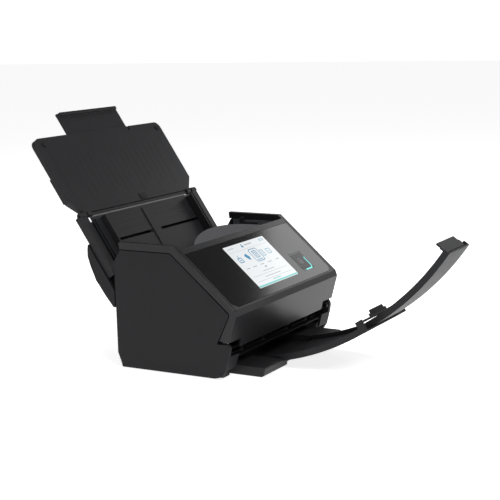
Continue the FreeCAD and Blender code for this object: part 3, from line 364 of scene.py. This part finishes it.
# ---------------------------------------------------------------- softened mouldings
SOFT = (
    ("side_cover_left", 0.9), ("side_cover_right", 0.9), ("hood_shell", 1.0), ("lower_tray", 0.6),
    ("tray_arm_left", 0.6), ("tray_arm_right", 0.6), ("tray_extension", 0.6),
    ("side_guide_left", 0.5), ("side_guide_right", 0.5), ("output_base", 0.6),
    ("output_extension_first", 0.5), ("output_extension_second", 0.5), ("paper_stop_first", 0.5),
    ("paper_stop_second", 0.5), ("rear_cover", 0.8), ("rear_shell", 0.8), ("hood_latch", 0.4),
    ("cover_panel", 0.8), ("feed_ramp", 0.6),
)
for name, width in SOFT:
    softened(name, width)

# ---------------------------------------------------------------- control panel
panel_half = BODY_HALF - RIM_WIDE - PANEL_GAP
panel_bottom = PANEL_TOP + PANEL_LONG


def panel_corner(x_sign):
    """The panel's lower corners are cut across and eased."""
    return [(x_sign * panel_half, panel_bottom - 9),
            (x_sign * (panel_half - 1.6), panel_bottom - 5.4),
            (x_sign * (panel_half - 8), panel_bottom)]


softened("control_panel", 0.4, "control_panel_face")

# Rim corners that close the cut lower corners of the panel, and the two fine rim lines, which are
# near-black strips of painted shade.
rim_mesh = bmesh.new()
for x_sign in (-1, 1):
    outline = panel_corner(x_sign) + [(x_sign * (panel_half + 0.6), panel_bottom + 0.6)]
    plate(rim_mesh, outline, -1.5, 0.12, on_slope, 0.1)
piece("rim_corner_fillets", rim_mesh, RIM_ABS, "hood_shell")

# Painted shade: near-black strips stand for the shade down in the rim's step lines.
groove_mesh = bmesh.new()
for x_sign in (-1, 1):
    for offset in (2.6, 5.4):
        x = x_sign * (panel_half + offset)
        brick(groove_mesh, (x - 0.35, 2, -0.5), (x + 0.35, panel_bottom + 4, 0.04),
              on_slope, 0.03, 1)
for offset in (3.2, 6.4):
    s = panel_bottom + offset
    if s < slope_run - 0.5:
        brick(groove_mesh, (-panel_half, s - 0.2, -0.5), (panel_half, s + 0.2, 0.04),
              on_slope, 0.03, 1)
piece("rim_step_shade_lines", groove_mesh, SEAM_SHADE, "hood_shell")

# Painted shade: a near-black strip stands for the shadowed seam between each side cover and the
# hood.
SEAM_LINE = [(144.6, 165.7), (64.4, 165.7), (-23.5, 91.3), (-23.9, 87.3), (-5.2, 49.2),
             (-20.4, 50.2)]
seam_mesh = bmesh.new()
for x_sign in (-1, 1):

    def side_at(y, z, out, x_sign=x_sign):
        """A point on one side cover: back, up, and out of its face."""
        return place(x_sign * (BODY_HALF + out), y, z)

    strokes(seam_mesh, list(zip(SEAM_LINE, SEAM_LINE[1:])), 1.3, -0.6, 0.03, side_at)
piece("side_seam_shade_lines", seam_mesh, SEAM_SHADE, "side_cover_left")

# ---------------------------------------------------------------- display
glass_mesh = bmesh.new()
plate(glass_mesh, round_outline(-SCREEN_HALF, SCREEN_HALF, SCREEN_TOP + 0.1,
                                SCREEN_TOP + SCREEN_LONG - 0.1, 1.2), -2.8, -0.2, on_slope, 0.2)
glass = piece("touch_screen_glass", glass_mesh, DISPLAY, "touch_screen")
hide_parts("touch_screen")

# The marks sink a little into the glass and stand 0.06 mm proud of it.
LOW, HIGH = -0.25, -0.14
S0 = SCREEN_TOP
blue = bmesh.new()
pale = bmesh.new()
grey = bmesh.new()
teal = bmesh.new()

# Header: a small mark beside a short title, and two marks in the far corner.
plate(blue, round_outline(-12, -9, S0 + 2.6, S0 + 5.4, 1.3), LOW, HIGH, on_slope)
plate(blue, round_outline(-13.5, -7.5, S0 + 5.8, S0 + 8.4, 1.2), LOW, HIGH, on_slope)
strokes(grey, [((-4, S0 + 5.4), (16, S0 + 5.4))], 1.4, LOW, HIGH, on_slope)
strokes(grey, [((-50, S0 + 5.4), (-34, S0 + 5.4))], 0.8, LOW, HIGH, on_slope)
for x in (41, 48):
    ring_outline(pale, round_outline(x - 2.3, x + 2.3, S0 + 3, S0 + 7.6, 1.2),
                 round_outline(x - 1.2, x + 1.2, S0 + 4.1, S0 + 6.5, 0.8), LOW, HIGH, on_slope)
strokes(grey, [((-SCREEN_HALF + 4, S0 + 12), (SCREEN_HALF - 4, S0 + 12))], 0.3, LOW, HIGH,
        on_slope)

# One row of five job marks; the middle one is framed as the chosen one.
row = S0 + 26.5


def frame_mark(mesh, x, s, wide, tall, line, radius=1.2):
    """An open rounded frame, drawn as one closed line."""
    ring_outline(mesh, round_outline(x - wide, x + wide, s - tall, s + tall, radius),
                 round_outline(x - wide + line, x + wide - line, s - tall + line, s + tall - line,
                               max(0.3, radius - line * 0.6)), LOW, HIGH, on_slope)


frame_mark(blue, -41.5, row + 1, 5.6, 4.4, 1.3)
strokes(blue, [((-41.5, row - 7.5), (-41.5, row - 3))], 1.4, LOW, HIGH, on_slope)
strokes(blue, [((-44, row + 1.2), (-39, row + 1.2))], 1.3, LOW, HIGH, on_slope)
plate(blue, [(-26, row - 4), (-20, row - 7.5), (-15.5, row - 1), (-17.5, row + 5.5),
             (-22, row + 3)], LOW, HIGH, on_slope)
frame_mark(blue, 3.5, row, 11.5, 12, 1.2, 4)
frame_mark(blue, 3.5, row - 1.5, 5.4, 6.6, 1.3)
strokes(blue, [((0.4, row + t), (6.6, row + t)) for t in (-4.4, -1.5, 1.4)], 1.1, LOW, HIGH,
        on_slope)
strokes(blue, [((-3.5, row + 8.4), (10.5, row + 8.4))], 1.2, LOW, HIGH, on_slope)
frame_mark(pale, 21.5, row, 4.2, 6, 1.2)
strokes(pale, [((19.4, row + t), (23.6, row + t)) for t in (-1.6, 1.6)], 1.0, LOW, HIGH,
        on_slope)
frame_mark(pale, 39, row, 6, 4.8, 1.3, 2)
strokes(pale, [((35.5, row + 0.5), (42.5, row + 0.5))], 0.9, LOW, HIGH, on_slope)

# Captions under the marks, one small marker, and ruled lines of settings below them.
for x, half_word in ((-42, 4.5), (-24, 5.5), (-3, 5), (19, 5), (41, 5)):
    strokes(grey, [((x - half_word, S0 + 43.6), (x + half_word, S0 + 43.6))], 1.2, LOW, HIGH,
            on_slope)
plate(grey, round_outline(-2.6, 2.6, S0 + 47.6, S0 + 50.4, 1.2), LOW, HIGH, on_slope)
for s, word in ((S0 + 56.5, 16), (S0 + 66.0, 22)):
    strokes(grey, [((-49, s + 2.6), (49, s + 2.6))], 0.45, LOW, HIGH, on_slope)
    strokes(grey, [((-word, s - 1.8), (word, s - 1.8))], 1.0, LOW, HIGH, on_slope)
strokes(teal, [((-10, S0 + 71.6), (12, S0 + 71.6))], 1.3, LOW, HIGH, on_slope)
plate(teal, round_outline(-SCREEN_HALF + 0.6, SCREEN_HALF - 0.6, S0 + SCREEN_LONG - 3.4,
                          S0 + SCREEN_LONG - 0.7, 0.6), LOW, HIGH, on_slope)
piece("display_marks_blue", blue, ICON_BLUE, "touch_screen")
piece("display_marks_pale", pale, ICON_PALE, "touch_screen")
piece("display_rules", grey, RULE_GREY, "touch_screen")
piece("display_strip", teal, STRIP_TEAL, "touch_screen")

# ---------------------------------------------------------------- key and its light
key_mesh = bmesh.new()
plate(key_mesh, round_outline(KEY_X - KEY_SIZE / 2, KEY_X + KEY_SIZE / 2,
                              KEY_TOP, KEY_TOP + KEY_SIZE, 1.6), -5.9, -0.1, on_slope, 0.5)
key_piece = piece("scan_key_cap", key_mesh, KEY_CAP, "scan_key")
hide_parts("scan_key")
mark_mesh = bmesh.new()
kx, ks = KEY_X - 1, KEY_TOP + KEY_SIZE / 2 - 1
ring_outline(mark_mesh, round_outline(kx - 4, kx + 4, ks - 5, ks + 5, 1),
             round_outline(kx - 3.3, kx + 3.3, ks - 4.3, ks + 4.3, 0.6), -0.2, -0.06, on_slope)
strokes(mark_mesh, [((kx, ks - 2.4), (kx, ks + 2.4)), ((kx - 1.6, ks + 1), (kx, ks + 2.6)),
                    ((kx + 1.6, ks + 1), (kx, ks + 2.6))], 0.6, -0.2, -0.06, on_slope)
piece("scan_key_mark", mark_mesh, PRINT, "scan_key")

lit_mesh = bmesh.new()
edge_in, edge_out = KEY_SIZE / 2 + 0.5, KEY_SIZE / 2 + 2.6
far_s = KEY_TOP + KEY_SIZE
plate(lit_mesh, [(KEY_X - 6, far_s + 0.5), (KEY_X + edge_in - 3, far_s + 0.5),
                 (KEY_X + edge_in, far_s - 3), (KEY_X + edge_in, KEY_TOP + 8),
                 (KEY_X + edge_out, KEY_TOP + 9), (KEY_X + edge_out, far_s - 2),
                 (KEY_X + edge_in - 2, far_s + 2.6), (KEY_X - 5, far_s + 2.6)],
      -0.6, -0.2, on_slope)
piece("key_light_lit_run", lit_mesh, LIGHT_TEAL, "key_light")

# ---------------------------------------------------------------- cover panel details
ribs = bmesh.new()
for k, x in enumerate(range(-98, 113, 14)):
    start = 14 + 9 * (k % 3)
    brick(ribs, (x - 0.4, start, -0.2), (x + 0.4, COVER_LONG - 26 - 7 * (k % 2), 0.2),
          on_tray, 0.14, 2)
for x in (-136, 136):
    brick(ribs, (x - 0.5, 24, -0.2), (x + 0.5, COVER_LONG - 22, 0.22), on_tray, 0.15, 2)
brick(ribs, (-120, 5.4, -0.2), (-2, 6.4, 0.22), on_tray, 0.15, 2)
brick(ribs, (24, 5.4, -0.2), (120, 6.4, 0.22), on_tray, 0.15, 2)
piece("cover_panel_ribs", ribs, TRAY_ABS, "cover_panel")
catch = bmesh.new()
plate(catch, round_outline(4, 20, 1.5, 11, 1.5), -0.3, 0.9, on_tray, 0.4)
plate(catch, round_outline(7, 17, 3, 6, 1.2), 0.8, 1.5, on_tray, 0.3)
piece("cover_catch", catch, CHARCOAL, "cover_panel")

# A near-black strip of painted shade hides the joint between the lower tray and the cover.
joint_shade = bmesh.new()
brick(joint_shade, (-121, -1.7, -3), (121, -0.7, 0.05), on_tray, 0.1, 1)
piece("tray_joint_painted_shade", joint_shade, SEAM_SHADE, "lower_tray")

# Fine cross ribs on the lower tray.
tray_marks = bmesh.new()
for s in (-10, -18, -26, -36):
    for near, far in ((-104, -14), (14, 104)):
        brick(tray_marks, (near, s - 0.45, -0.2), (far, s + 0.45, 0.25), on_tray, 0.15, 2)
piece("lower_tray_ribs", tray_marks, TRAY_ABS, "lower_tray")

# ---------------------------------------------------------------- output tray ribs
def arc_rib(mesh, x, start, end, radius, wide, tall, steps=14):
    """A low tapered rib turned about the centre of the output arc."""
    section = mesh.faces.new([mesh.verts.new(on_arc(x + across, start, r)) for across, r in (
        (-wide, radius), (wide, radius),
        (wide * 0.7, radius - tall), (-wide * 0.7, radius - tall))])
    bmesh.ops.spin(mesh, geom=[section], cent=place(0, ARC_Y, ARC_Z), axis=(1, 0, 0),
                   angle=math.radians(start - end), steps=steps, use_duplicate=False)


first_ribs = bmesh.new()
for x in (-44, -22, 0, 22, 44):
    arc_rib(first_ribs, x, 11, 32.0, ARC_RADIUS - 2.2, 0.7, 0.5)
piece("first_tray_ribs", first_ribs, TRAY_ABS, "output_extension_first")
second_ribs = bmesh.new()
for x in (-26, -13, 0, 13, 26):
    arc_rib(second_ribs, x, 33, 54.5, ARC_RADIUS - 5.0, 0.7, 0.5)
piece("second_tray_ribs", second_ribs, TRAY_ABS, "output_extension_second")

# ---------------------------------------------------------------- rear screws and air slots
rear = bmesh.new()


def rear_at(x, up, out):
    """A point on the rear cover: across, up, and out of its face."""
    return place(x, REAR_Y + out, up)


for x in range(-66, 67, 12):
    plate(rear, round_outline(x - 3.6, x + 3.6, 96, 99, 1.4), -0.3, 0.05, rear_at)
piece("rear_air_slots", rear, NYLON, "rear_cover")
screws = bmesh.new()
for x in (-118, 118):
    for up in (16, 112):
        plate(screws, round_outline(x - 3, x + 3, up - 3, up + 3, 2.9, 8), -0.5, 0.12, rear_at, 0.1)
piece("rear_screw_heads", screws, ZINC, "rear_cover")

# ---------------------------------------------------------------- floor, light, camera
floor_mesh = bmesh.new()
bmesh.ops.create_grid(floor_mesh, x_segments=1, y_segments=1, size=12)
floor_data = bpy.data.meshes.new("floor")
floor_mesh.to_mesh(floor_data)
floor_mesh.free()
floor = bpy.data.objects.new("floor", floor_data)
bpy.context.scene.collection.objects.link(floor)
PAPER = bpy.data.materials.new("seamless_paper_white")
PAPER.use_nodes = True
paper_shader = PAPER.node_tree.nodes["Principled BSDF"]
paper_shader.inputs["Base Color"].default_value = (0.9, 0.9, 0.9, 1)
paper_shader.inputs["Roughness"].default_value = 0.9
paper_shader.inputs["Specular IOR Level"].default_value = 0.0
paper_shader.inputs["Emission Color"].default_value = (1, 1, 1, 1)
paper_shader.inputs["Emission Strength"].default_value = 0.8
floor_data.materials.append(PAPER)

world = bpy.data.worlds.new("studio")
bpy.context.scene.world = world
world.use_nodes = True
sky = world.node_tree
ray = add(sky, "TexCoord").outputs["Generated"]
height = add(sky, "SeparateXYZ", [(0, ray)]).outputs["Z"]
fade = add(sky, "MapRange", [("Value", height)],
           [("From Min", 0.02), ("From Max", 0.3), ("To Min", 1.05), ("To Max", 0.13)])
sky.links.new(fade.outputs[0], sky.nodes["Background"].inputs["Strength"])
sky.nodes["Background"].inputs["Color"].default_value = (1, 1, 1, 1)


def softbox(label, at, towards, wide, tall, watts):
    """A rectangular studio light that faces a point."""
    data = bpy.data.lights.new(label, "AREA")
    data.shape = "RECTANGLE"
    data.size = wide
    data.size_y = tall
    data.energy = watts
    made = bpy.data.objects.new(label, data)
    made.location = at
    made.rotation_euler = (Vector(towards) - Vector(at)).to_track_quat("-Z", "Y").to_euler()
    bpy.context.scene.collection.objects.link(made)
    return made


softbox("key_light_box", (-0.6, -1.1, 1.5), (0, 0, 0.1), 0.9, 0.9, 16)
softbox("overhead_box", (0.2, 0.3, 1.9), (0, 0, 0.1), 1.4, 1.4, 18)
softbox("panel_glow_box", (0.78, -0.10, 0.46), (0.1, 0.0, 0.14), 0.5, 0.2, 0.75)

AIM, DISTANCE = Vector((0, 0.01791, 0.095)), 1.810
azimuth, rise, roll = math.radians(-60.2), math.radians(11.7), math.radians(-1.45)
back = Vector((math.sin(azimuth) * math.cos(rise), -math.cos(azimuth) * math.cos(rise),
               math.sin(rise)))
right = Vector((math.cos(azimuth), math.sin(azimuth), 0))
up = back.cross(right)
right_rolled = right * math.cos(roll) + up * math.sin(roll)
up_rolled = up * math.cos(roll) - right * math.sin(roll)
camera_data = bpy.data.cameras.new("view")
camera = bpy.data.objects.new("view", camera_data)
bpy.context.scene.collection.objects.link(camera)
turn = Matrix((right_rolled, up_rolled, back)).transposed().to_4x4()
camera.matrix_world = Matrix.Translation(AIM + back * DISTANCE) @ turn
camera_data.lens = 91.5
camera_data.sensor_width = 36
camera_data.shift_y = 0.0728
camera_data.clip_start = 0.05
camera_data.clip_end = 60
bpy.context.scene.camera = camera
bpy.context.scene.view_settings.view_transform = "Standard"
